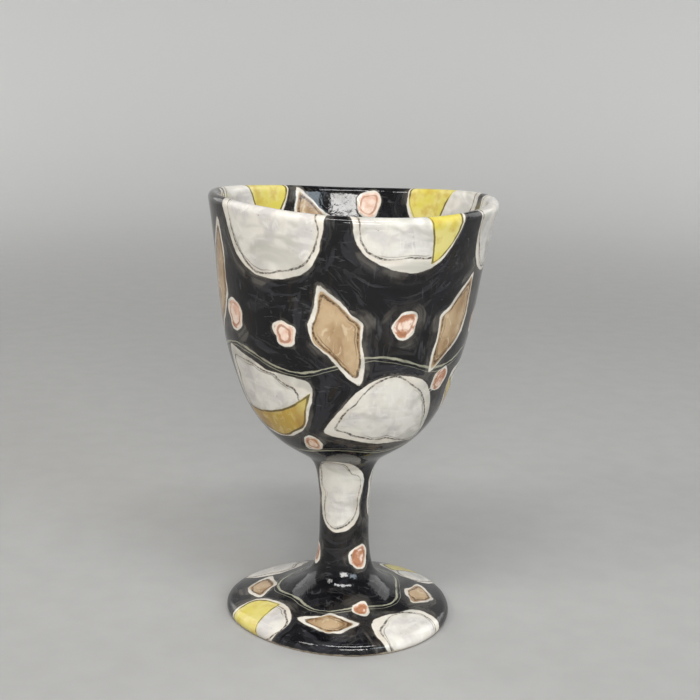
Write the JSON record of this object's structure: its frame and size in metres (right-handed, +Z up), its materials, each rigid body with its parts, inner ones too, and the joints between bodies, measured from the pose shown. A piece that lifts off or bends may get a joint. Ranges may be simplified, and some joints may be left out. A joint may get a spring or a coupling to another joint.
{
  "type": "footed drinking goblet",
  "caption": "Hand-made stoneware goblet with a deep round-bottomed bowl, a short waisted stem and a low domed foot, under a painted glossy glaze.",
  "frame": {"origin": "on the resting plane, under the centre of the bowl's mouth", "axes": "+Z up, from the foot to the mouth; -Y towards the side that the picture shows; +X to the right in the picture"},
  "size_m": [0.0996, 0.0996, 0.1543],
  "materials": {
    "bowl_glaze": "clear glossy glaze over black, cream, yellow, tan and pink painting",
    "bowl_fillet_glaze": "clear glossy glaze over painting, mostly black",
    "stem_glaze": "clear glossy glaze over painting, mostly black",
    "foot_fillet_glaze": "clear glossy glaze over painting, mostly black",
    "foot_glaze": "clear glossy glaze over painting; bare buff clay on the standing ring"
  },
  "bodies": {
    "root": {"bowl": "bowl_glaze", "bowl_fillet": "bowl_fillet_glaze", "stem": "stem_glaze", "foot_fillet": "foot_fillet_glaze", "foot": "foot_glaze"}
  },
  "joints": []
}
